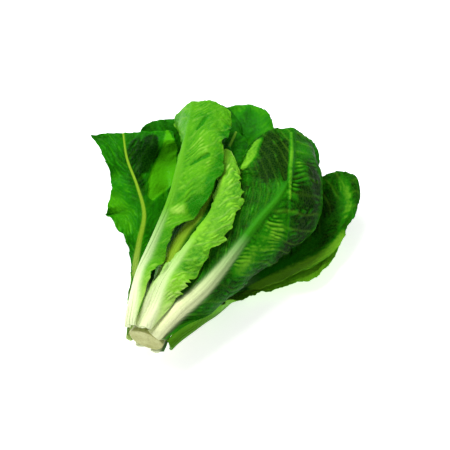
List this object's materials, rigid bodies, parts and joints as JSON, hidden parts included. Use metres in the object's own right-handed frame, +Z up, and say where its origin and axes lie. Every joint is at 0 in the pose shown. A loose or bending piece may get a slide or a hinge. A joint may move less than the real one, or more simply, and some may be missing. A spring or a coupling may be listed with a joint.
{
  "type": "romaine lettuce head",
  "caption": "Head of romaine lettuce lying on its side, its ribbed leaves fanned out from a short cut stem.",
  "frame": {"origin": "middle of the head's footprint, on the surface it lies on", "axes": "+Z up, +Y from the cut stem towards the leaf tips, +X to the right seen from the cut stem"},
  "size_m": [0.2884, 0.2921, 0.1072],
  "materials": {
    "stem": "matt cut flesh",
    "heart_leaf": "satin leaf",
    "light_leaf": "satin leaf",
    "mid_leaf": "satin leaf",
    "dark_leaf": "satin leaf"
  },
  "bodies": {
    "root": {"stem": "stem", "heart_leaf_1": "heart_leaf", "heart_leaf_2": "heart_leaf", "heart_leaf_3": "heart_leaf", "front_centre_leaf": "light_leaf", "front_left_leaf": "light_leaf", "heart_leaf_4": "mid_leaf", "heart_leaf_5": "mid_leaf", "under_leaf_1": "mid_leaf", "under_leaf_3": "mid_leaf", "under_leaf_6": "mid_leaf", "inner_left_leaf": "dark_leaf", "front_right_leaf": "dark_leaf", "under_leaf_0": "dark_leaf", "under_leaf_2": "dark_leaf", "under_leaf_4": "dark_leaf", "under_leaf_5": "dark_leaf"}
  },
  "joints": []
}
